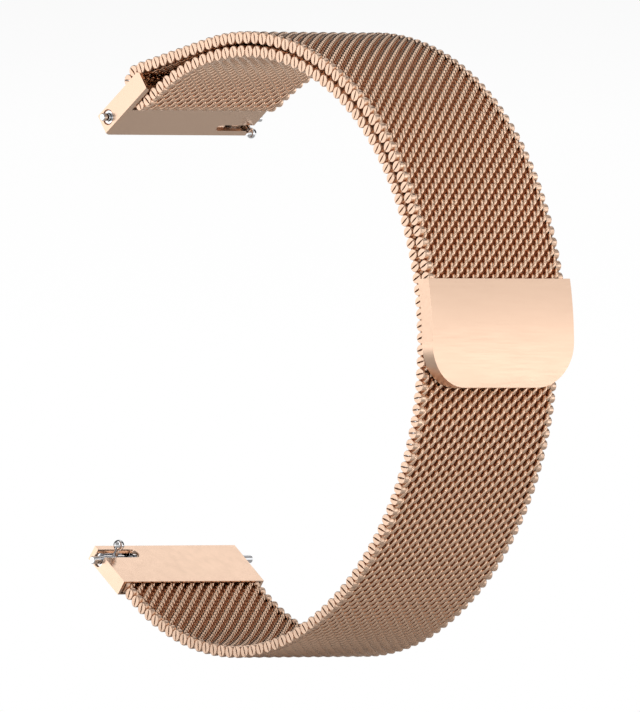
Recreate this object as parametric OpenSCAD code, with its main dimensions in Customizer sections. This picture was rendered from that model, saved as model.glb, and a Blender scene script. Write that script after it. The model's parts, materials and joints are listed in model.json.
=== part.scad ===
// Woven metal mesh strap for a wristwatch, closed in a loop as it is worn. One long strip of mesh starts
// in the end fitting, goes round the wrist as the inner layer, folds back over the crossbar of the loop
// fitting and lies on itself as the outer layer, down to a magnetic clasp. Both fittings hold a
// quick-release spring bar. Millimetres. X runs from the open watch side to the clasp side, Y across the
// strap, Z up, and the origin is halfway between the two spring bars.

/* [Mesh] */
// Thickness of one layer of mesh
mesh_t = 1.4; // [1.3:0.02:1.44]
// Distance between the middle surfaces of the inner and the outer layer
layer_pitch = 1.5; // [1.48:0.02:1.7]

/* [Loop] */
// Radius of the middle surface over the top of the wrist
top_r = 28.4; // [27.6:0.2:29.4]
// Radius of the middle surface on the clasp side
side_r = 34.2; // [33.4:0.2:35]
// Radius of the middle surface under the wrist
bottom_r = 28; // [27.2:0.2:28.8]
// Angle above the horizontal where the top arc meets the side arc
top_break = 35; // [33:1:38]
// Angle below the horizontal where the side arc meets the bottom arc
bottom_break = 62; // [60:1:65]
// Angle at which the top arc reaches the crossbar
top_end = 125.6; // [124:0.2:127]
// Angle at which the bottom arc ends, near the end fitting
bottom_end = 128; // [127:0.5:129]
// Straight mesh between the bottom arc and the end fitting
tail_l = 1.4; // [1:0.1:2]

/* [Fittings] */
// Length of both fittings along their spring bars, which is the watch's lug width
lug_w = 20; // [20:0.5:22]
// Length of the loop fitting from its bar end to its crossbar end
loop_fitting_l = 8.4; // [8.4:0.1:9]
// Thickness of the loop fitting
loop_fitting_t = 2.6; // [2.5:0.1:2.8]
// Radius of the crossbar that the mesh folds over
crossbar_r = 1.17; // [1.1:0.01:1.18]
// Thickness of the cheeks at the ends of the crossbar
cheek_t = 0.35; // [0.3:0.01:0.4]
// Length of the end fitting from its bar end to its mouth
end_fitting_l = 6.3; // [6:0.1:7]
// Thickness of the end fitting
end_fitting_t = 1.8; // [1.8:0.05:2.2]
// Depth of the channel that holds the mesh in the end fitting
channel_depth = 2.4; // [2:0.1:3]

/* [Spring bars] */
// Outer radius of the spring bar's tube
bar_r = 0.72; // [0.7:0.01:0.72]
// Radius of the tips that enter the watch's lugs
tip_r = 0.42; // [0.38:0.01:0.44]
// How far a tip stands out on the near side, towards -Y
near_tip_l = 0.85; // [0.8:0.05:1.2]
// How far a tip stands out on the far side, towards +Y
far_tip_l = 1.9; // [1.2:0.05:2]
// Travel of a release lever
lever_travel = 2; // [1.5:0.1:2]
// Radius of the ball on a release lever
ball_r = 0.6; // [0.5:0.05:0.7]
// Distance of the ball's centre from the bar's axis
lever_l = 2.07; // [1.9:0.01:2.2]

/* [Clasp] */
// Width of the clasp across the strap
clasp_w = 20.2; // [20.1:0.1:21]
// Height of the clasp along the strap
clasp_h = 11.8; // [11.4:0.1:12]
// Thickness of the clasp
clasp_t = 1.75; // [1.75:0.05:2]
// Radius of the two lower corners of the clasp
clasp_corner_r = 4.9; // [3.5:0.1:5]
// Thickness of the clasp shell's face
face_t = 0.38; // [0.34:0.01:0.38]

/* [Hidden] */
$fn = 96;
epsilon = 0.01;

// Names of the panels that the strip is divided into, so that it bends
INNER_COUNT = 16;
OUTER_COUNT = 8;
function numbered(word, i) = str(word, i < 10 ? "_0" : "_", i);

// Clearances
side_gap = 0.1;         // mesh to cheek
bar_gap = 0.08;         // mesh to crossbar
knuckle_gap = 0.06;     // knuckle to socket
knuckle_inset = 0.05;   // knuckle's ends to the panel's sides
bore_gap = 0.05;        // spring bar to bore
plunger_gap = 0.03;     // sprung tip to tube
face_gap = 0.15;        // half the gap between the ends of two hinged panels
outer_gap = 0.34;       // half the gap between two outer panels, which turn about axes below them
clasp_gap = 0.15;       // clasp to the inner layer under it

mesh_w = lug_w - 2 * (cheek_t + side_gap);
fold_r = crossbar_r + bar_gap + mesh_t / 2;
knuckle_r = 0.36 * mesh_t;

// Points and directions in the X-Z plane are pairs [x, z]
function polar(r, a) = r * [cos(a), sin(a)];
function angle_of(v) = atan2(v[1], v[0]);

// The middle surface of the inner layer is three arcs that meet smoothly. The side arc's centre is the
// raw origin, and every raw point is moved by shift, which puts the frame's origin between the bars.
raw_top_c = polar(side_r - top_r, top_break);
raw_bottom_c = polar(side_r - bottom_r, -bottom_break);

// Loop fitting: its own frame runs from its bar end, along it and out from the wrist
loop_tilt = top_end - 90;
crossbar_u = loop_fitting_l - crossbar_r - 0.18;
crossbar_v = loop_fitting_t / 2 + 0.12;
upper_bar_inset = 1.3;
upper_bar_depth = 1.5;   // below the face towards the wrist
lower_bar_inset = 1.36;
raw_crossbar = raw_top_c + polar(top_r + fold_r, top_end);
raw_loop_corner = raw_crossbar - polar(crossbar_u, loop_tilt) - polar(crossbar_v, top_end);
raw_upper_bar = raw_loop_corner + polar(upper_bar_inset, loop_tilt) + polar(upper_bar_depth, top_end);

// End fitting: its own frame runs from its bar end, along its middle plane and in towards the wrist
end_tilt = 90 - bottom_end;
raw_tail = raw_bottom_c + polar(bottom_r, -bottom_end);
raw_mouth = raw_tail - polar(tail_l, end_tilt);
raw_end_corner = raw_mouth - polar(end_fitting_l, end_tilt);
raw_lower_bar = raw_end_corner + polar(lower_bar_inset, end_tilt);

shift = -(raw_upper_bar + raw_lower_bar) / 2;
side_c = shift;
top_c = raw_top_c + shift;
bottom_c = raw_bottom_c + shift;
crossbar = raw_crossbar + shift;
loop_corner = raw_loop_corner + shift;
upper_bar = raw_upper_bar + shift;
end_corner = raw_end_corner + shift;
lower_bar = raw_lower_bar + shift;
tail_start = raw_tail + shift;

// The outer layer leaves the fold along the line that touches both the fold and the top arc's outer layer
lay_r = top_r + layer_pitch;
lay_angle = top_end - acos((lay_r - fold_r) / norm(crossbar - top_c));
fold_out = crossbar + polar(fold_r, lay_angle);
lay_point = top_c + polar(lay_r, lay_angle);
span_l = norm(lay_point - fold_out);

// Angles of the hinge lines between the inner panels, from the loop fitting to the end fitting
clasp_top_angle = 11;
clasp_zone_start = 14.5;
clasp_zone_end = -8.5;
function steps(from, to, count) = [for (k = [1:count]) from + (to - from) * k / count];
marks = concat(
    [top_end, lay_angle],
    steps(lay_angle, top_break, 4),
    steps(top_break, clasp_zone_start, 2),
    [clasp_zone_end],
    steps(clasp_zone_end, -bottom_break, 4),
    steps(-bottom_break, -bottom_end, 4)
);
function centre_at(a) = a > top_break ? top_c : a < -bottom_break ? bottom_c : side_c;
function radius_at(a) = a > top_break ? top_r : a < -bottom_break ? bottom_r : side_r;

// Colours
rose_gold = [0.93, 0.73, 0.60];
mesh_rose = [0.80, 0.58, 0.46];
steel = [0.80, 0.81, 0.83];
magnet_grey = [0.45, 0.46, 0.48];

// A frame at a point, with local X at the given angle in the X-Z plane and local Z on its left
module at(point, a) {
    translate([point[0], 0, point[1]]) rotate([0, -a, 0]) children();
}

// A flat outline in the X-Z plane, carried across the strap
module across(width) {
    rotate([90, 0, 0]) linear_extrude(width, center = true) children();
}

// A round bar across the strap, between two places in Y
module bar_y(r, from, to) {
    translate([0, to, 0]) rotate([90, 0, 0]) cylinder(r = r, h = to - from);
}

// A curved slab between two radii and two angles about a centre
module arc_slab(centre, r_in, r_out, a_low, a_high, width) {
    translate([centre[0], 0, centre[1]])
        rotate([90, 0, 0])
            rotate([0, 0, a_low])
                rotate_extrude(angle = a_high - a_low, $fn = 360)
                    translate([r_in, -width / 2]) square([r_out - r_in, width]);
}

// Half of a hinge on a hinge line: the round knuckle, or the socket that it turns in
module knuckle(point) {
    half = mesh_w / 2 - knuckle_inset;
    translate([point[0], 0, point[1]]) bar_y(knuckle_r, -half, half);
}
module socket(point) {
    translate([point[0], 0, point[1]]) bar_y(knuckle_r + knuckle_gap, -lug_w, lug_w);
}

// The start of a panel that swings out, cut back so that it clears the panel before it
module swing_cut(point, a, swing) {
    top = mesh_t;
    at(point, a)
        across(lug_w) polygon([
            [face_gap, 0.1],
            [face_gap + 0.1 + top * tan(swing), top],
            [-top, top],
            [-face_gap, 0.1]
        ]);
}

// ---- Mesh strip

// Inner panel i reaches from one hinge line to the next
module inner_mesh(i) {
    start = marks[i - 1];
    stop = marks[i];
    c = centre_at((start + stop) / 2);
    r = radius_at((start + stop) / 2);
    trim = asin(face_gap / r);
    first = i == 1;
    last = i == INNER_COUNT;
    color(mesh_rose) difference() {
        union() {
            arc_slab(c, r - mesh_t / 2, r + mesh_t / 2, stop + (last ? 0 : trim),
                     start - (first ? 0 : trim), mesh_w);
            if (!first) knuckle(c + polar(r, start));
            if (last)
                at(tail_start, end_tilt)
                    translate([-tail_l - channel_depth + side_gap, -mesh_w / 2, -mesh_t / 2])
                        cube([tail_l + channel_depth - side_gap + epsilon, mesh_w, mesh_t]);
        }
        if (!last) socket(c + polar(r, stop));
    }
}

// The mesh wraps the crossbar from the inner layer round to the outer one
module mesh_fold() {
    trim = asin(face_gap / fold_r);
    color(mesh_rose) difference() {
        arc_slab(crossbar, fold_r - mesh_t / 2, fold_r + mesh_t / 2, lay_angle + trim, top_end + 180,
                 mesh_w);
        socket(fold_out);
    }
}

// Outer panel 1 is the straight span from the fold to where the layers meet; the others follow the
// hinge lines of the inner layer, and the last one ends where the clasp tips
tip_angle = clasp_top_angle + 1;
outer_marks = concat([for (i = [1:7]) marks[i]], [tip_angle]);
swing_of_outer = 60;
module outer_mesh(i) {
    color(mesh_rose) difference() {
        if (i == 1) union() {
            at(fold_out, lay_angle - 90)
                translate([face_gap, -mesh_w / 2, -mesh_t / 2])
                    cube([span_l - face_gap - outer_gap, mesh_w, mesh_t]);
            knuckle(fold_out);
        }
        else {
            start = outer_marks[i - 2];
            stop = outer_marks[i - 1];
            c = centre_at((start + stop) / 2);
            r = radius_at((start + stop) / 2) + layer_pitch;
            arc_slab(c, r - mesh_t / 2, r + mesh_t / 2,
                     stop + asin((i == OUTER_COUNT ? face_gap : outer_gap) / r),
                     start - asin(outer_gap / r), mesh_w);
        }
        if (i == 1) swing_cut(fold_out, lay_angle - 90, swing_of_outer);
        if (i == OUTER_COUNT) socket(tip_point);
    }
}

// ---- Clasp

clasp_in_r = side_r + mesh_t / 2 + clasp_gap;
clasp_out_r = clasp_in_r + clasp_t;
outer_mesh_r = side_r + layer_pitch;
tip_point = side_c + polar(outer_mesh_r, tip_angle);
clasp_sweep = 2 * asin(clasp_h / 2 / clasp_out_r);
clasp_mid = clasp_top_angle - clasp_sweep / 2;
swing_of_clasp = 45;
rim_t = 0.45;           // leaves the mesh a clearance of 0.1 on each side of the pocket
tongue_angle = 2.4 / outer_mesh_r * 180 / PI;
plate_t = 0.3;
inside_gap = 0.05;
plate_gap = 0.1;
plate_top = (outer_mesh_r - mesh_t / 2) * sin(clasp_sweep / 2 - tongue_angle) - plate_gap;

// A shape in the clasp's outline: straight on top, with round lower corners, made smaller by inset
module clasp_outline(inset, top) {
    w = clasp_w - 2 * inset;
    low = inset - clasp_h / 2;
    r = clasp_corner_r - inset;
    translate([-w / 2, low + r]) square([w, top - low - r]);
    translate([r - w / 2, low]) square([w - 2 * r, r + epsilon]);
    // only the lower quarters of the corner circles, which could otherwise rise above the top
    intersection() {
        for (side = [-1, 1])
            translate([side * (w / 2 - r), low + r]) circle(r);
        translate([-w / 2, low]) square([w, r + epsilon]);
    }
}

// The outline carried through the clasp and kept between two radii
module clasp_layer(inset, top, r_in, r_out) {
    intersection() {
        translate([side_c[0], 0, side_c[1]])
            rotate([0, -clasp_mid, 0])
                translate([side_r - 3, 0, 0])
                    rotate([90, 0, 90]) linear_extrude(8) clasp_outline(inset, top);
        arc_slab(side_c, r_in, r_out, clasp_mid - clasp_sweep, clasp_mid + clasp_sweep, 2 * lug_w);
    }
}

module clasp_shell() {
    pocket_r = clasp_out_r - face_t;
    color(rose_gold) difference() {
        clasp_layer(0, clasp_h / 2, clasp_in_r, clasp_out_r);
        clasp_layer(rim_t, clasp_h, clasp_in_r - 1, pocket_r);
    }
}

module clasp_mesh_end() {
    color(mesh_rose) difference() {
        union() {
            arc_slab(side_c, outer_mesh_r - mesh_t / 2, outer_mesh_r + mesh_t / 2,
                     clasp_top_angle - tongue_angle, tip_angle - asin(face_gap / outer_mesh_r), mesh_w);
            knuckle(tip_point);
        }
        swing_cut(tip_point, tip_angle - 90, swing_of_clasp);
    }
}

module clasp_back_plate() {
    color(rose_gold)
        clasp_layer(rim_t + inside_gap, plate_top, clasp_in_r, clasp_in_r + plate_t);
}

module clasp_yoke() {
    outer_r = clasp_out_r - face_t - inside_gap;
    color(steel) clasp_layer(rim_t + inside_gap, plate_top, outer_r - plate_t, outer_r);
}

// Four flat magnets in a row behind the back plate
module clasp_magnets() {
    count = 4;
    size = [0.52, 3.5, 5.2];
    pitch = 4.1;
    place = clasp_in_r + plate_t + 0.1;
    color(magnet_grey)
        translate([side_c[0], 0, side_c[1]])
            rotate([0, -clasp_mid, 0])
                for (k = [0:count - 1])
                    translate([place, (k - (count - 1) / 2) * pitch - size[1] / 2, plate_top - size[2] - 0.6])
                        cube(size);
}

// ---- Fittings

slot_l = 5.3;
upper_slot_w = 1.05;
upper_slot_offset = 0.17;   // from the bar's axis, away from the bar end
lower_slot_w = 1.4;
counterbore_r = 0.88;
counterbore_depth = 0.3;
half_lug = lug_w / 2;

// The hole for a spring bar, along local Y
module bar_hole() {
    bar_y(bar_r + bore_gap, -lug_w, lug_w);
}

// The slot for its lever, towards local +Z, open at the +Y end and round at the other
module lever_slot(w, depth) {
    translate([-w / 2, half_lug - slot_l + w / 2, 0]) cube([w, lug_w, depth]);
    translate([0, half_lug - slot_l + w / 2, 0]) cylinder(r = w / 2, h = depth);
}

module loop_fitting() {
    clear_r = fold_r + mesh_t / 2 + side_gap;
    outer_bevel = 0.3;
    inner_bevel = 0.1;
    side_bevel = 0.28;
    side_cut = side_bevel * sqrt(2);
    color(rose_gold)
        at(loop_corner, loop_tilt)
            union() {
                difference() {
                    across(lug_w) polygon([
                        [0, inner_bevel], [inner_bevel, 0],
                        [loop_fitting_l - inner_bevel, 0], [loop_fitting_l, inner_bevel],
                        [loop_fitting_l, loop_fitting_t - outer_bevel],
                        [loop_fitting_l - outer_bevel, loop_fitting_t],
                        [0, loop_fitting_t]
                    ]);
                    for (side = [-1, 1])
                        translate([0, side * half_lug, 0]) rotate([45, 0, 0])
                            cube([3 * loop_fitting_l, side_cut, side_cut], center = true);
                    translate([crossbar_u, 0, crossbar_v])
                        bar_y(clear_r, -half_lug + cheek_t, half_lug - cheek_t);
                    translate([crossbar_u, -half_lug + cheek_t, -1])
                        cube([loop_fitting_l, lug_w - 2 * cheek_t, loop_fitting_t + 2]);
                    translate([upper_bar_inset, 0, upper_bar_depth]) {
                        bar_hole();
                        translate([upper_slot_offset, 0, 0]) mirror([0, 0, 1])
                            lever_slot(upper_slot_w, loop_fitting_t);
                        bar_y(counterbore_r, -lug_w, counterbore_depth - half_lug);
                    }
                }
                translate([crossbar_u, 0, crossbar_v])
                    bar_y(crossbar_r, epsilon - half_lug, half_lug - epsilon);
            }
}

module end_fitting() {
    channel_t = mesh_t + 0.1;
    color(rose_gold)
        at(end_corner, end_tilt)
            difference() {
                translate([0, -half_lug, -end_fitting_t / 2])
                    cube([end_fitting_l, lug_w, end_fitting_t]);
                translate([end_fitting_l - channel_depth, cheek_t - half_lug, -channel_t / 2])
                    cube([channel_depth + 1, lug_w - 2 * cheek_t, channel_t]);
                translate([lower_bar_inset, 0, 0]) {
                    bar_hole();
                    mirror([0, 1, 0]) lever_slot(lower_slot_w, end_fitting_t);
                }
            }
}

// ---- Spring bars. Each is drawn along local Y with its sprung end towards +Y; the lower one is mirrored.

tube_bore_r = 0.605;
lip_bore_r = 0.5;
lip_l = 0.4;
lip_gap = 0.02;
plug_l = 2.4;
plunger_r = tube_bore_r - plunger_gap;
plunger_tail_l = 1.2;
tip_root_r = tip_r + 0.03;   // a tip tapers up to the fitting's face
tip_bevel = 0.08;
stem_r = 0.3;
lever_lean = 0.35;
// Half the length of each tube, which ends inside its fitting
upper_tube_half = half_lug - 0.1;
lower_tube_half = half_lug - 0.25;
// Distance of each lever from the sprung end of its bar
upper_lever_inset = 0.85;
lower_lever_inset = 2.25;

module place_bar(upper) {
    if (upper) at(upper_bar, loop_tilt) mirror([0, 0, 1]) children();
    else at(lower_bar, end_tilt) mirror([0, 1, 0]) children();
}

// The tube's ends are crimped to a lip, and it is slotted on the wrist side, so that the lever can travel
module bar_tube(lever_y, tube_half) {
    color(steel) difference() {
        bar_y(bar_r, -tube_half, tube_half);
        bar_y(tube_bore_r, lip_l - tube_half, tube_half - lip_l);
        bar_y(lip_bore_r, -lug_w, lug_w);
        translate([-stem_r - 0.05, lever_y - lever_travel - stem_r - 0.1, 0])
            cube([2 * stem_r + 0.1, lug_w, 2 * bar_r]);
    }
}

// A solid turned about local Y, from half of its outline as [radius, y] pairs
module turned(outline) {
    rotate([-90, 0, 0]) rotate_extrude() polygon(outline);
}

// Half of the outline of a shoulder inside the tube and the tip that comes out of the fitting
function tip_outline(stand_out, shoulder, shoulder_r, root) = [
    [0, root], [shoulder_r, root], [shoulder_r, shoulder], [tip_root_r, shoulder],
    [tip_r, half_lug], [tip_r, half_lug + stand_out - tip_bevel],
    [tip_r - tip_bevel, half_lug + stand_out], [0, half_lug + stand_out]
];

module fixed_tip(stand_out, tube_half) {
    shoulder = tube_half - lip_l;
    color(steel) mirror([0, 1, 0])
        turned(tip_outline(stand_out, shoulder, tube_bore_r, shoulder - plug_l));
}

module sprung_tip(lever_y, stand_out, tube_half) {
    shoulder = tube_half - lip_l - lip_gap;
    color(steel) difference() {
        turned(tip_outline(stand_out, shoulder, plunger_r, lever_y - plunger_tail_l));
        lever_axis(lever_y) cylinder(r = stem_r, h = lug_w);
    }
}

// The lever's axis starts on the bar's axis and leans a little towards the sprung end
module lever_axis(lever_y) {
    translate([0, lever_y, 0]) rotate([-atan2(lever_lean, lever_l), 0, 0]) children();
}

// A stem pressed into the sprung tip, with a ball to pull
module release_lever(lever_y) {
    color(steel) lever_axis(lever_y) {
        cylinder(r = stem_r, h = lever_l);
        translate([0, 0, lever_l]) sphere(ball_r);
    }
}

// A helical compression spring between the fixed plug and the sprung tip
coil_r = 0.42;
wire_r = 0.08;
coil_turns = 9;
turn_steps = 14;
wire_sides = 6;
module bar_spring(lever_y, tube_half) {
    from = lip_l + plug_l - tube_half + wire_r;
    to = lever_y - plunger_tail_l - wire_r;
    rings = coil_turns * turn_steps;
    points = [for (k = [0:rings], s = [0:wire_sides - 1])
        let (turn = 360 * k / turn_steps, side = 360 * s / wire_sides, r = coil_r + wire_r * cos(side))
        [r * cos(turn), from + (to - from) * k / rings + wire_r * sin(side), r * sin(turn)]];
    walls = [for (k = [0:rings - 1], s = [0:wire_sides - 1])
        let (next = (s + 1) % wire_sides, a = k * wire_sides)
        [a + s, a + wire_sides + s, a + wire_sides + next, a + next]];
    first_cap = [for (s = [0:wire_sides - 1]) s];
    last_cap = [for (s = [wire_sides - 1:-1:0]) rings * wire_sides + s];
    color(steel) polyhedron(points, concat([first_cap, last_cap], walls));
}

upper_lever_y = half_lug - upper_lever_inset;
lower_lever_y = half_lug - lower_lever_inset;

loop_fitting();
end_fitting();
mesh_fold();
for (i = [1:INNER_COUNT])
    inner_mesh(i);
for (i = [1:OUTER_COUNT])
    outer_mesh(i);
clasp_mesh_end();
clasp_shell();
clasp_back_plate();
clasp_magnets();
clasp_yoke();
place_bar(true) bar_tube(upper_lever_y, upper_tube_half);  // upper_bar_tube
place_bar(true) fixed_tip(near_tip_l, upper_tube_half);  // upper_fixed_tip
place_bar(true) sprung_tip(upper_lever_y, far_tip_l, upper_tube_half);  // upper_sprung_tip
place_bar(true) release_lever(upper_lever_y);  // upper_release_lever
place_bar(true) bar_spring(upper_lever_y, upper_tube_half);  // upper_bar_spring
place_bar(false) bar_tube(lower_lever_y, lower_tube_half);  // lower_bar_tube
place_bar(false) fixed_tip(far_tip_l, lower_tube_half);  // lower_fixed_tip
place_bar(false) sprung_tip(lower_lever_y, near_tip_l, lower_tube_half);  // lower_sprung_tip
place_bar(false) release_lever(lower_lever_y);  // lower_release_lever
place_bar(false) bar_spring(lower_lever_y, lower_tube_half);  // lower_bar_spring
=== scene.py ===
import json
import math

import bpy
import numpy as np
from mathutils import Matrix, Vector


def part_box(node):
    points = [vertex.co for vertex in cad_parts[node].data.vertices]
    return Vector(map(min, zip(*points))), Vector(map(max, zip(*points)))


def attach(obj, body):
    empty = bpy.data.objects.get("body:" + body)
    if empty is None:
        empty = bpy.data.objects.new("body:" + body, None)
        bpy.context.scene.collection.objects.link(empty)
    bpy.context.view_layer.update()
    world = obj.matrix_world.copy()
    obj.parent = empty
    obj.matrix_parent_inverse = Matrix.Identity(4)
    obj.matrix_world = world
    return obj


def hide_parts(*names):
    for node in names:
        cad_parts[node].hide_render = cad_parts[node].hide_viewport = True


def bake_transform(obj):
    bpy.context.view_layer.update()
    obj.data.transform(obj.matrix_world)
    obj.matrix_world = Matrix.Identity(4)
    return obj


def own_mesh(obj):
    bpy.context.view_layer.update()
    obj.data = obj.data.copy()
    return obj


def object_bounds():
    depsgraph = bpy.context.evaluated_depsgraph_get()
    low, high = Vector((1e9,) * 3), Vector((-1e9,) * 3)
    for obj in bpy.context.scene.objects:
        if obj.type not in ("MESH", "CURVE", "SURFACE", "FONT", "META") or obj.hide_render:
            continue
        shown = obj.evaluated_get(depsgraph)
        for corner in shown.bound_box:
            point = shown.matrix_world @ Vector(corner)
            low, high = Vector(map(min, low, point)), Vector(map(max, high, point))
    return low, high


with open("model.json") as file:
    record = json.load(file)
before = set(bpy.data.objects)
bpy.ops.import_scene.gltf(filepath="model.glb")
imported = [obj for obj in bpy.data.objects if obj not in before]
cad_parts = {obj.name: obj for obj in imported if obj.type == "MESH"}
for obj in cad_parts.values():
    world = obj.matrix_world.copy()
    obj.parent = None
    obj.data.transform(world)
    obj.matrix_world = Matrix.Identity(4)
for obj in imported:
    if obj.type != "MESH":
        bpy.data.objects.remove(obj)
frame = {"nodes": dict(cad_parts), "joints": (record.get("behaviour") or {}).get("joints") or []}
cad_box = [list(corner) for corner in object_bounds()]

MM = 0.001

# ---- The strip's path, from the record's hinge lines

joints = {j["name"]: j for j in frame["joints"]}


def hinge(name):
    """A hinge line's place in the X-Z plane, in millimetres."""
    p = joints[name]["pos_m"]
    return np.array([p[0], p[2]]) / MM


def circle_through(a, b, c):
    """The centre and the radius of the circle through three points."""
    m = 2 * np.array([b - a, c - a])
    v = np.array([b @ b - a @ a, c @ c - a @ a])
    centre = np.linalg.solve(m, v)
    return centre, float(np.linalg.norm(a - centre))


def angle_of(v):
    return math.degrees(math.atan2(v[1], v[0]))


def polar(r, a):
    return r * np.array([math.cos(math.radians(a)), math.sin(math.radians(a))])


flex = [hinge(f"flex_{i:02d}") for i in range(1, 16)]
crossbar = hinge("fold_swivel")
fold_out = hinge("outer_lift")
tip_point = hinge("clasp_tip")
top_c, TOP_R = circle_through(flex[0], flex[2], flex[4])
side_c, SIDE_R = circle_through(flex[4], flex[7], flex[11])
bottom_c, BOTTOM_R = circle_through(flex[11], flex[13], flex[14])
FOLD_R = float(np.linalg.norm(fold_out - crossbar))
LAYER = float(np.linalg.norm(tip_point - side_c)) - SIDE_R
TOP_END = angle_of(crossbar - top_c)
TOP_BREAK = angle_of(flex[4] - side_c)
BOTTOM_BREAK = angle_of(flex[11] - side_c)
BOTTOM_END = angle_of(flex[14] - bottom_c) - (angle_of(flex[13] - bottom_c) - angle_of(flex[14] - bottom_c))
LAY_ANGLE = angle_of(fold_out - crossbar)
TAIL = 3.6          # straight mesh before the bottom arc, most of it inside the end fitting
mesh_low, mesh_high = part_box("inner_mesh_08")
MESH_W = (mesh_high[1] - mesh_low[1]) / MM
MESH_T = 1.4        # thickness of the weave
CLASP_LOW, CLASP_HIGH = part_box("clasp_shell")


class Path:
    """A middle line of arcs and straight stretches in the X-Z plane, by its length."""

    def __init__(self):
        self.parts = []
        self.length = 0.0

    def arc(self, centre, r, a0, a1):
        size = r * abs(math.radians(a1 - a0))
        self.parts.append((self.length, self.length + size, "arc", centre, r, a0, a1))
        self.length += size
        return self

    def line(self, p, q):
        size = float(np.linalg.norm(q - p))
        self.parts.append((self.length, self.length + size, "line", p, q, None, None))
        self.length += size
        return self

    def at(self, s):
        """Points, forward directions and normals (to the left of forward) at lengths s."""
        s = np.asarray(s, float)
        p = np.zeros(s.shape + (2,))
        t = np.zeros(s.shape + (2,))
        for k, (s0, s1, kind, a, b, c, d) in enumerate(self.parts):
            low = s0 if k else -1e9
            high = s1 if k < len(self.parts) - 1 else 1e9
            m = (s >= low) & (s < high)
            if not m.any():
                continue
            f = (s[m] - s0) / (s1 - s0)
            if kind == "line":
                p[m] = a + f[:, None] * (b - a)
                t[m] = (b - a) / np.linalg.norm(b - a)
            else:
                ang = np.radians(c + f * (d - c))
                turn = 1.0 if d > c else -1.0
                p[m] = a + b * np.stack([np.cos(ang), np.sin(ang)], -1)
                t[m] = turn * np.stack([-np.sin(ang), np.cos(ang)], -1)
        n = np.stack([-t[..., 1], t[..., 0]], -1)
        return p, t, n


# Inner layer: from the end fitting up to the crossbar, so that forward is a rising angle
tail_dir = polar(1, 90 + BOTTOM_END)
bottom_end = bottom_c + polar(BOTTOM_R, BOTTOM_END)
inner = Path().line(bottom_end - TAIL * tail_dir, bottom_end)
inner.arc(bottom_c, BOTTOM_R, BOTTOM_END, BOTTOM_BREAK)
inner.arc(side_c, SIDE_R, BOTTOM_BREAK, TOP_BREAK)
inner.arc(top_c, TOP_R, TOP_BREAK, TOP_END)
S_FOLD = inner.length
# the fold turns clockwise round the crossbar, then the outer layer comes back down
strip = Path()
strip.parts = list(inner.parts)
strip.length = inner.length
strip.arc(crossbar, FOLD_R, TOP_END + 180, LAY_ANGLE)
S_OUT = strip.length
lay_point = top_c + polar(TOP_R + LAYER, LAY_ANGLE)
strip.line(fold_out, lay_point)
strip.arc(top_c, TOP_R + LAYER, LAY_ANGLE, TOP_BREAK)
OUTER_R = SIDE_R + LAYER
# the outer layer goes one degree into the clasp, whose top edge is at this angle
CLASP_MIDDLE_R = OUTER_R + 1.1
CLASP_TOP = math.degrees(math.asin((CLASP_HIGH[2] / MM - side_c[1]) / CLASP_MIDDLE_R))
strip.arc(side_c, OUTER_R, TOP_BREAK, CLASP_TOP - 1.0)
S_END = strip.length

# ---- Materials


def shader(name, colour, metallic=1.0, roughness=0.3):
    """A new material, with its node tree and its shader node."""
    m = bpy.data.materials.new(name)
    m.use_nodes = True
    b = m.node_tree.nodes["Principled BSDF"]
    b.inputs["Base Color"].default_value = (*colour, 1)
    b.inputs["Metallic"].default_value = metallic
    b.inputs["Roughness"].default_value = roughness
    return m, m.node_tree, b


def ramp(tree, fac, stops):
    """A colour ramp over a value, from (position, colour) pairs."""
    n = tree.nodes.new("ShaderNodeValToRGB")
    tree.links.new(fac, n.inputs["Fac"])
    while len(n.color_ramp.elements) < len(stops):
        n.color_ramp.elements.new(0.5)
    for e, (pos, col) in zip(n.color_ramp.elements, stops):
        e.position = pos
        e.color = (*col, 1)
    return n.outputs["Color"]


def noise(tree, scale, detail=3.0, stretch=(1, 1, 1)):
    """A noise value that is fixed to the object."""
    coord = tree.nodes.new("ShaderNodeTexCoord")
    mapping = tree.nodes.new("ShaderNodeMapping")
    mapping.inputs["Scale"].default_value = stretch
    tree.links.new(coord.outputs["Object"], mapping.inputs["Vector"])
    n = tree.nodes.new("ShaderNodeTexNoise")
    n.inputs["Scale"].default_value = scale
    n.inputs["Detail"].default_value = detail
    tree.links.new(mapping.outputs["Vector"], n.inputs["Vector"])
    return n.outputs["Fac"]


def bump(tree, bsdf, height, strength, distance):
    n = tree.nodes.new("ShaderNodeBump")
    n.inputs["Strength"].default_value = strength
    n.inputs["Distance"].default_value = distance
    tree.links.new(height, n.inputs["Height"])
    tree.links.new(n.outputs["Normal"], bsdf.inputs["Normal"])


DRIFT = 0.97            # the colour at its darkest
DRIFT_SCALE = 90.0
GLOSSIEST, DULLEST = 0.8, 1.25  # the roughness varies between these shares of its value
GRAIN_STRENGTH = 0.06
GRAIN_DEPTH = 0.00002   # metres


def plated(name, colour, roughness, grain, stretch=(1, 1, 1)):
    """Plated metal: a fine grain in its gloss and a very slight drift in its colour."""
    m, tree, b = shader(name, colour, 1.0, roughness)
    fine = noise(tree, grain, 2.0, stretch)
    dark = [c * DRIFT for c in colour]
    tree.links.new(ramp(tree, noise(tree, DRIFT_SCALE), [(0.3, dark), (0.7, colour)]), b.inputs["Base Color"])
    r = tree.nodes.new("ShaderNodeMapRange")
    r.inputs["To Min"].default_value = roughness * GLOSSIEST
    r.inputs["To Max"].default_value = roughness * DULLEST
    tree.links.new(fine, r.inputs["Value"])
    tree.links.new(r.outputs["Result"], b.inputs["Roughness"])
    bump(tree, b, fine, GRAIN_STRENGTH, GRAIN_DEPTH)
    return m


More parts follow.
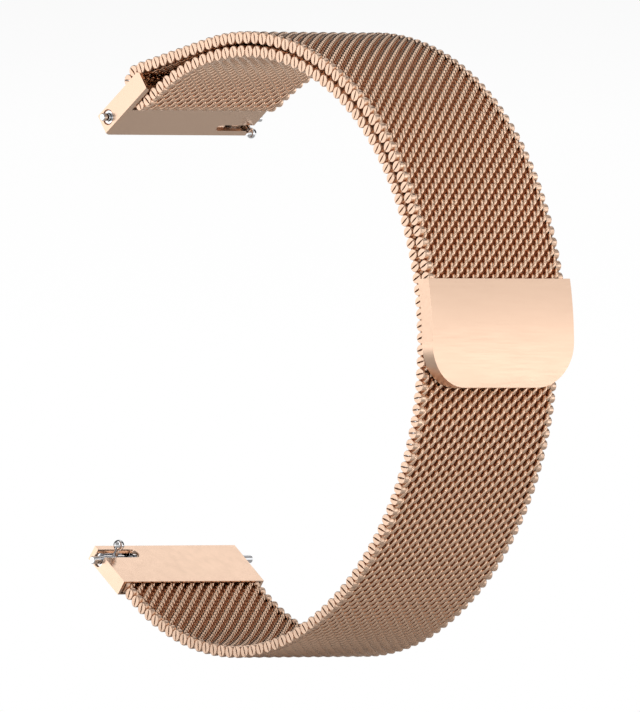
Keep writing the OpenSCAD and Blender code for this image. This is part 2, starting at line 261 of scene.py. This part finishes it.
ROSE = (0.93, 0.66, 0.49)
wire_mat = plated("woven_wire", (0.93, 0.645, 0.465), 0.17, 900.0)
edge_mat = plated("wire_ends", ROSE, 0.34, 700.0)
gold_mat = plated("satin_rose_gold", ROSE, 0.36, 5000.0, (1, 0.05, 1))
face_mat = plated("polished_rose_gold", ROSE, 0.22, 900.0)
steel_mat = plated("polished_steel", (0.86, 0.87, 0.89), 0.08, 1100.0, (1, 0.1, 1))
# painted shade: a darker, redder copy of the wire's metal, for the shade and the dim inner wires in the
# weave's gaps
weave_shade_mat = plated("weave_shadow", (0.50, 0.22, 0.11), 0.5, 500.0)
dull_mat = plated("nickel_plate", (0.45, 0.46, 0.48), 0.4, 800.0)


# ---- Meshes


def new_mesh(name, verts, faces, mat, smooth=True):
    """A mesh object from corners in millimetres and faces that all have as many sides."""
    me = bpy.data.meshes.new(name)
    verts = np.asarray(verts, np.float64).reshape(-1, 3) * MM
    faces = np.asarray(faces, np.int32)
    me.vertices.add(len(verts))
    me.vertices.foreach_set("co", verts.astype(np.float32).ravel())
    n = faces.shape[1]
    me.loops.add(faces.size)
    me.loops.foreach_set("vertex_index", faces.ravel())
    me.polygons.add(len(faces))
    me.polygons.foreach_set("loop_start", np.arange(len(faces), dtype=np.int32) * n)
    me.polygons.foreach_set("use_smooth", np.full(len(faces), smooth))
    me.update(calc_edges=True)
    me.validate()
    me.materials.append(mat)
    o = bpy.data.objects.new(name, me)
    bpy.context.scene.collection.objects.link(o)
    return o


# Weave: flattened coils of wire across the strip, each threaded through the next
COLUMN = 1.411      # one turn of a coil, across the strip
ROW = 0.65          # from one coil to the next, along the strip
HALF_L = 0.60       # half a coil's reach along the strip
WIRE_R = 0.235
HALF_T = MESH_T / 2 - WIRE_R
SQUARER = 0.8       # below 1, a coil's section is squarer than a circle
EDGE = 0.46         # wire ends stop this far inside the strip's edge
STEPS = 10
SIDES = 6


def coil(path, s0, phase):
    """Points along one coil whose middle line crosses the strip at length s0."""
    half = MESH_W / 2 - EDGE
    count = int(round(2 * half / COLUMN * STEPS))
    y = np.linspace(-half, half, count + 1)
    # on the outside the wire rises as y grows
    phi = 2 * np.pi * (y / COLUMN + phase)
    u = HALF_L * np.cos(phi)
    # a squarer section than a circle keeps the wire on the faces for longer
    v = np.sin(phi)
    v = HALF_T * np.sign(v) * np.abs(v) ** SQUARER
    p, t, n = path.at(s0 + u)
    q = p + v[:, None] * n
    return np.stack([q[:, 0], y, q[:, 1]], -1)


def tube(points, r, sides):
    """Rings of a tube along points, open at both ends."""
    p = np.asarray(points)
    t = np.gradient(p, axis=0)
    t /= np.linalg.norm(t, axis=1)[:, None]
    ref = np.array([0.0, 1.0, 0.0])
    a = np.cross(t, ref)
    bad = np.linalg.norm(a, axis=1) < 1e-6
    a[bad] = [1, 0, 0]
    a /= np.linalg.norm(a, axis=1)[:, None]
    b = np.cross(t, a)
    ang = 2 * np.pi * np.arange(sides) / sides
    ring = (np.cos(ang)[None, :, None] * a[:, None, :] + np.sin(ang)[None, :, None] * b[:, None, :]) * r
    verts = (p[:, None, :] + ring).reshape(-1, 3)
    n = len(p)
    i = np.arange(n - 1)[:, None] * sides
    k = np.arange(sides)[None, :]
    k2 = (k + 1) % sides
    quads = np.stack([i + k, i + k2, i + sides + k2, i + sides + k], -1).reshape(-1, 4)
    return verts, quads


def weave(name, path, s_from, s_to):
    """The coils whose middle lines lie between two lengths."""
    verts, quads = [], []
    base = 0
    row = math.ceil((s_from - ROW / 2) / ROW)
    while True:
        s = (row + 0.5) * ROW
        if s >= s_to:
            break
        if s >= s_from:
            v, q = tube(coil(path, s, 0.5 * (row % 2)), WIRE_R, SIDES)
            verts.append(v)
            quads.append(q + base)
            base += len(v)
        row += 1
    if not verts:
        return None
    return new_mesh(name, np.concatenate(verts), np.concatenate(quads), wire_mat)


def bead_rows(s_from, s_to):
    """The lengths at which the beads between two lengths have their middles: every second row of coils."""
    rows = []
    row = math.ceil(s_from / (2 * ROW) - 1)
    while True:
        s = (row + 0.5) * 2 * ROW
        if s >= s_to:
            break
        if s >= s_from:
            rows.append(s)
        row += 1
    return rows


# Edge beads: the cut and pressed ends of two wires, side by side, with a narrow leaning slit between them
BEAD_HALF_L = 0.60      # half a bead's reach along the strip
BEAD_HALF_T = 0.70      # and through its thickness
BEAD_MIDDLE = 0.32      # middle of one wire's end, from the slit
BEAD_ROOT = 0.25        # how far a bead goes in beyond the ends of the coils
SLIT_HALF_W = 0.015     # half the slit's width at its ends
SLIT_BULGE = 0.065      # how much wider it is at its middle, on each side
SLIT_LEAN = math.tan(math.radians(15))
# a half bead's outline has an even number of points in all, for the quads of its flat end
ARC_STEPS = 9
SLIT_POINTS = 6


def half_bead():
    """One half of an edge bead, as (along, through) pairs: half an oval, then back along the slit."""
    turned = math.asin(SLIT_LEAN * BEAD_HALF_T / BEAD_HALF_L)
    outline = []
    for k in range(ARC_STEPS + 1):
        a = math.pi * k / ARC_STEPS - turned
        outline.append((BEAD_HALF_L * math.sin(a), BEAD_HALF_T * math.cos(a)))
    for k in range(1, SLIT_POINTS + 1):
        f = -1 + 2 * k / (SLIT_POINTS + 1)
        slit = SLIT_HALF_W + SLIT_BULGE * (1 - f * f)
        outline.append((slit - SLIT_LEAN * BEAD_HALF_L * f, BEAD_HALF_L * f))
    return outline


def beads(name, path, s_from, s_to, mat):
    """Cut and pressed wire ends along both edges of the strip, two to a bead."""
    outline = half_bead()
    n = len(outline)
    verts, faces = [], []
    inner_y = MESH_W / 2 - EDGE - BEAD_ROOT
    outer_y = MESH_W / 2
    # (y, size): the flat end, its rounded rim and the root inside the weave
    levels = [
        (outer_y, 0.88), (outer_y - 0.04, 0.96), (outer_y - 0.12, 1.0),
        (inner_y + 0.15, 0.97), (inner_y, 0.8),
    ]
    for s in bead_rows(s_from, s_to):
        for side in (-1, 1):
            for half in (-1, 1):
                base = len(verts)
                middle = BEAD_MIDDLE * half
                for y, size in levels:
                    for u, v in outline:
                        verts.append((s + middle + (half * u - middle) * size, side * y, half * v * size))
                quads = []
                for k in range(len(levels) - 1):
                    low, high = base + k * n, base + (k + 1) * n
                    for j in range(n):
                        nxt = (j + 1) % n
                        quads.append([low + j, low + nxt, high + nxt, high + j])
                # the flat end is a fan of quads round its middle
                centre = len(verts)
                verts.append((s + middle, side * outer_y, 0.0))
                for j in range(0, n, 2):
                    quads.append([base + j + 1, base + (j + 2) % n, centre, base + j])
                faces += [quad if side < 0 else quad[::-1] for quad in quads]
    if not verts:
        return None
    verts = np.array(verts)
    p, _, normal = path.at(verts[:, 0])
    q = p + verts[:, 2:3] * normal
    return new_mesh(name, np.stack([q[:, 0], verts[:, 1], q[:, 1]], -1), faces, mat, smooth=False)


SHADE_SHEET_STEP = 0.6     # from one ring of the painted-shade sheet's corners to the next, at least


def shade_slab(name, path, s_from, s_to, half_w, half_t, mat):
    """A thin dark sheet of painted shade inside the weave, which closes the view through it."""
    count = max(2, int((s_to - s_from) / SHADE_SHEET_STEP) + 1)
    s = np.linspace(s_from, s_to, count)
    p, t, n = path.at(s)
    rings = []
    for y, v in ((-half_w, -half_t), (half_w, -half_t), (half_w, half_t), (-half_w, half_t)):
        q = p + v * n
        rings.append(np.stack([q[:, 0], np.full(count, y), q[:, 1]], -1))
    verts = np.stack(rings, 1).reshape(-1, 3)
    i = np.arange(count - 1)[:, None] * 4
    k = np.arange(4)[None, :]
    k2 = (k + 1) % 4
    quads = np.stack([i + k, i + 4 + k, i + 4 + k2, i + k2], -1).reshape(-1, 4)
    caps = np.array([[0, 1, 2, 3], [4 * count - 1, 4 * count - 2, 4 * count - 3, 4 * count - 4]])
    return new_mesh(name, verts, np.concatenate([quads, caps]), mat, smooth=False)


# ---- The strip, one piece for each hinge line


def s_of(point, low, high):
    """The length at which the strip passes nearest to a point."""
    s = np.linspace(low, high, 4001)
    p, _, _ = strip.at(s)
    return float(s[np.argmin(np.linalg.norm(p - point, axis=1))])


S_FLEX = [s_of(p, 0, S_FOLD + 0.01) for p in flex]
# bodies in order along the strip, from the end fitting, with the length at which each begins
STRIP_START = -1.0  # the mesh begins a little deeper in the end fitting
segments = [("inner_16", STRIP_START, S_FLEX[14])]
for i in range(14, 0, -1):
    segments.append((f"inner_{i + 1:02d}", S_FLEX[i], S_FLEX[i - 1]))
segments.append(("fold", S_FLEX[0], S_OUT))
# an outer hinge line lies straight outside its inner one: four over the top of the wrist, three beside it
outer_cuts = [S_OUT]
for point, centre in zip(flex, [top_c] * 4 + [side_c] * 3):
    outward = (point - centre) / np.linalg.norm(point - centre)
    outer_cuts.append(s_of(point + LAYER * outward, S_OUT, S_END))
outer_cuts.append(s_of(tip_point, S_OUT, S_END))
for i, (a, b) in enumerate(zip(outer_cuts, outer_cuts[1:])):
    segments.append((f"outer_{i + 1:02d}", a, b))
segments.append(("clasp", outer_cuts[-1], S_END))


def nodes_of(body):
    """The CAD panels that the strip's pieces on a body stand for."""
    special = {"fold": ["mesh_fold", "inner_mesh_01"], "clasp": ["clasp_mesh_end"]}
    return special.get(body, [body.replace("_", "_mesh_", 1)])


def point_at(s):
    """The point of the strip's middle line at a length, in metres."""
    p, _, _ = strip.at(np.array([s]))
    return (p[0, 0] * MM, 0.0, p[0, 1] * MM)


BEND_REACH = 1.6    # a span of this length on each side of a hinge line, at most
WITHIN = 0.98       # a span ends a little before its piece does

# Each segment is cut in two halves at its middle. A piece holds the second half of one and the first
# half of the next. The fold is cut halfway round the crossbar, so that no piece has parts of both layers.
cuts = []
for body, a, b in segments:
    cuts.append((S_FOLD + S_OUT) / 2 if body == "fold" else (a + b) / 2)

SHADE_SHEET_INSET = 0.5    # the dark sheet of painted shade stops this far inside the strip's edge
SHADE_SHEET_HALF_T = 0.12


def strip_pieces(word, s_from, s_to):
    """The weave, the beads and the sheet of painted shade between two lengths, without those that are empty.
    """
    made = [
        weave(f"weave_{word}", strip, s_from, s_to),
        beads(f"beads_{word}", strip, s_from, s_to, edge_mat),
        # a dark sheet of painted shade behind the weave's gaps
        shade_slab(f"shade_sheet_{word}", strip, s_from, s_to, MESH_W / 2 - SHADE_SHEET_INSET, SHADE_SHEET_HALF_T, weave_shade_mat),
    ]
    made = [o for o in made if o]
    return made


# the two ends ride on one body each
for word, body, s_from, s_to in (
    ("start", segments[0][0], segments[0][1], cuts[0]),
    ("end", segments[-1][0], cuts[-1], segments[-1][2]),
):
    for o in strip_pieces(word, s_from, s_to):
        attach(o, body)
        if o.name == f"weave_{word}":
            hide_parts(*nodes_of(body))

last = len(segments) - 2
for k in range(last + 1):
    body_a, _, hinge_s = segments[k]
    body_b = segments[k + 1][0]
    lo, hi = cuts[k], cuts[k + 1]
    before = after = min(hinge_s - lo, hi - hinge_s, BEND_REACH) * WITHIN
    if body_b == "outer_01":
        # the span reaches only beyond the lifted layer's hinge line, because the crossbar is close before it
        before, after = 0.0, min(hi - hinge_s, 2 * BEND_REACH) * WITHIN
    for o in strip_pieces(f"{k + 1:02d}", lo, hi):
        point_at(hinge_s - before)
        point_at(hinge_s + after)
        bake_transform(o)
        if o.name == f"weave_{k + 1:02d}":
            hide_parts(*nodes_of(body_a))
            if k == last:
                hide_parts("clasp_mesh_end")

# ---- The springs inside the bars; a real one shortens as its lever slides, these coils keep one length

SPRING_WIRE_R = 0.08
SPRING_TURNS = 9
SPRING_STEPS = 24   # points in one turn
SPRING_SIDES = 8


def bar_spring(end, body):
    """A coil in place of the CAD spring, held at one end and pushed by the sprung tip at the other."""
    node = f"{end}_bar_spring"
    low, high = (np.array(corner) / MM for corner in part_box(node))
    tip_low, tip_high = (np.array(corner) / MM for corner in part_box(f"{end}_sprung_tip"))
    held, pushed = low[1], high[1]
    if tip_low[1] + tip_high[1] < low[1] + high[1]:
        held, pushed = pushed, held
    middle = (low + high) / 2
    r = (high[0] - low[0]) / 2 - SPRING_WIRE_R
    turn = np.linspace(0, 2 * np.pi * SPRING_TURNS, SPRING_TURNS * SPRING_STEPS + 1)
    inset = math.copysign(SPRING_WIRE_R, pushed - held)
    y = np.linspace(held + inset, pushed - inset, len(turn))
    points = np.stack([middle[0] + r * np.cos(turn), y, middle[2] + r * np.sin(turn)], -1)
    verts, quads = tube(points, SPRING_WIRE_R, SPRING_SIDES)
    o = new_mesh(f"{end}_spring_coil", verts, quads, steel_mat)
    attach(o, body)
    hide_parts(node)
    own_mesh(o)


bar_spring("upper", "loop_frame")
bar_spring("lower", "inner_16")

# ---- Fittings, bars and clasp keep their CAD shapes, with softened edges


EDGE_ANGLE = math.radians(30)   # only edges sharper than this are softened


def dress(node, mat, width=0.0, steps=2):
    """Gives a CAD node its material, and rounds its edges by a width in millimetres."""
    o = frame["nodes"][node]
    o.data.materials.clear()
    o.data.materials.append(mat)
    if width:
        b = o.modifiers.new("edge", "BEVEL")
        b.width = width * MM
        b.segments = steps
        b.limit_method = "ANGLE"
        b.angle_limit = EDGE_ANGLE
        b.harden_normals = True


dress("loop_fitting", face_mat, 0.05)
dress("end_fitting", face_mat, 0.05)
dress("clasp_shell", gold_mat, 0.10, 3)
dress("clasp_back_plate", gold_mat)
dress("clasp_magnets", dull_mat)
dress("clasp_yoke", dull_mat)
for end in ("upper", "lower"):
    dress(f"{end}_bar_tube", steel_mat, 0.03)
    dress(f"{end}_fixed_tip", steel_mat, 0.06)
    dress(f"{end}_sprung_tip", steel_mat, 0.06)
    dress(f"{end}_release_lever", steel_mat)

# ---- Camera: on the photograph's side, level, and far enough away for an almost parallel view

AZIMUTH = math.radians(49.5)
VIEW_H = 77.39      # what the picture's height covers at the strap's depth
# middle of the picture in the object's frame, across the view and up
ACROSS = 16.09
UP = -1.90
DISTANCE = 3200.0   # under a hundred times the strap's radius
right = np.array([math.cos(AZIMUTH), math.sin(AZIMUTH), 0.0])
back = np.array([math.sin(AZIMUTH), -math.cos(AZIMUTH), 0.0])
# the strap's middle depth, halfway between the watch's axis and the clasp's face
depth = CLASP_HIGH[0] / MM / 2 * back[0]
aim = ACROSS * right + np.array([0, 0, UP]) + depth * back
cam = bpy.data.cameras.new("camera")
cam.type = "PERSP"
cam.sensor_width = 36.0
cam.lens = cam.sensor_width * DISTANCE / VIEW_H
cam.clip_start = 0.1
cam.clip_end = 10.0
camera = bpy.data.objects.new("camera", cam)
camera.location = (aim + DISTANCE * back) * MM
camera.rotation_euler = (math.radians(90), 0, AZIMUTH)
bpy.context.scene.collection.objects.link(camera)
bpy.context.scene.camera = camera

# ---- Floor and light, with places in metres

FLOOR_HALF = 0.12
FLOOR_DROP = 0.0085     # the strap reaches 8 mm lower when it bends at its side
FLOOR_X = 0.03
LIT_POINT = (0.028, 0, 0)   # the middle of the loop, which the panels face

floor_mesh = bpy.data.meshes.new("floor")
floor_mesh.from_pydata(
    [(-FLOOR_HALF, -FLOOR_HALF, 0), (FLOOR_HALF, -FLOOR_HALF, 0),
     (FLOOR_HALF, FLOOR_HALF, 0), (-FLOOR_HALF, FLOOR_HALF, 0)],
    [], [(0, 1, 2, 3)])
floor_mesh.materials.append(shader("floor", (0.80, 0.80, 0.79), 0.0, 0.6)[0])
floor = bpy.data.objects.new("floor", floor_mesh)
floor.location = (FLOOR_X, 0, cad_box[0][2] - FLOOR_DROP)
bpy.context.scene.collection.objects.link(floor)


def panel(name, place, size, radiance):
    """A soft panel that faces the loop, of an even brightness, as its reflection shows it."""
    data = bpy.data.lights.new(name, "AREA")
    data.shape = "RECTANGLE"
    data.size, data.size_y = size
    data.energy = radiance * math.pi * size[0] * size[1]
    o = bpy.data.objects.new(name, data)
    o.location = place
    o.rotation_euler = (Vector(LIT_POINT) - Vector(place)).to_track_quat("-Z", "Y").to_euler()
    bpy.context.scene.collection.objects.link(o)


# one panel opposite each flat side that the view shows: the clasp's face and the near edge
panel("face_panel", (0.41, 0.325, 0.06), (0.40, 0.46), 0.61)
panel("edge_panel", (-0.35, -0.325, 0.04), (0.40, 0.46), 0.60)
panel("top_panel", (0.10, 0.0, 0.5), (0.46, 0.46), 0.62)
# above the lower fitting, whose inner face looks up at it
panel("inner_panel", (-0.15, 0.36, 0.37), (0.22, 0.22), 1.10)
# a narrow bright one, which runs along the wires as a highlight
panel("streak_panel", (0.42, -0.16, 0.26), (0.07, 0.30), 3.2)

# Soft studio surround, by height: white up to the horizon, dimmer overhead. Above the horizon a dark cloth
# stands on either side of the white backdrop, and outlines polished metal.
WHITE, BLACK = (1, 1, 1), (0, 0, 0)
CLOTH = (0.12, 0.11, 0.11)
HORIZON = 0.503     # on the ramps, where 0 is straight down and 1 is straight up

world = bpy.data.worlds.new("world")
bpy.context.scene.world = world
world.use_nodes = True
tree = world.node_tree
background = tree.nodes["Background"]
coord = tree.nodes.new("ShaderNodeTexCoord")


def from_zero_to_one(value):
    """Maps a direction's part along an axis, from -1 to 1, to a ramp's range."""
    n = tree.nodes.new("ShaderNodeMapRange")
    n.inputs["From Min"].default_value = -1.0
    n.inputs["From Max"].default_value = 1.0
    tree.links.new(value, n.inputs["Value"])
    return n.outputs["Result"]


def mixed(blend, factor, a, b):
    """A colour mix; the factor and the second colour are sockets or plain values."""
    n = tree.nodes.new("ShaderNodeMix")
    n.data_type = "RGBA"
    n.blend_type = blend
    for socket, value in ((n.inputs[0], factor), (n.inputs[6], a), (n.inputs[7], b)):
        if isinstance(value, bpy.types.NodeSocket):
            tree.links.new(value, socket)
        else:
            socket.default_value = value
    return n.outputs[2]


split = tree.nodes.new("ShaderNodeSeparateXYZ")
tree.links.new(coord.outputs["Generated"], split.inputs[0])
height = from_zero_to_one(split.outputs["Z"])
facing = tree.nodes.new("ShaderNodeVectorMath")
facing.operation = "DOT_PRODUCT"
facing.inputs[1].default_value = tuple(-back)
tree.links.new(coord.outputs["Generated"], facing.inputs[0])
surround = ramp(tree, height, [
    (0.0, WHITE), (HORIZON, WHITE), (0.54, (0.44, 0.44, 0.44)), (0.75, (0.28, 0.27, 0.27)),
    (1.0, (0.5, 0.5, 0.5))])
cloths = ramp(tree, from_zero_to_one(facing.outputs["Value"]), [
    (0.0, WHITE), (0.52, WHITE), (0.62, CLOTH), (0.92, CLOTH), (0.97, WHITE)])
below = ramp(tree, height, [(HORIZON, WHITE), (0.512, BLACK)])
shade = mixed("MIX", below, cloths, (1, 1, 1, 1))
tree.links.new(mixed("MULTIPLY", 1.0, surround, shade), background.inputs["Color"])
background.inputs["Strength"].default_value = 1.0
bpy.context.scene.view_settings.view_transform = "Standard"

bpy.context.view_layer.update()
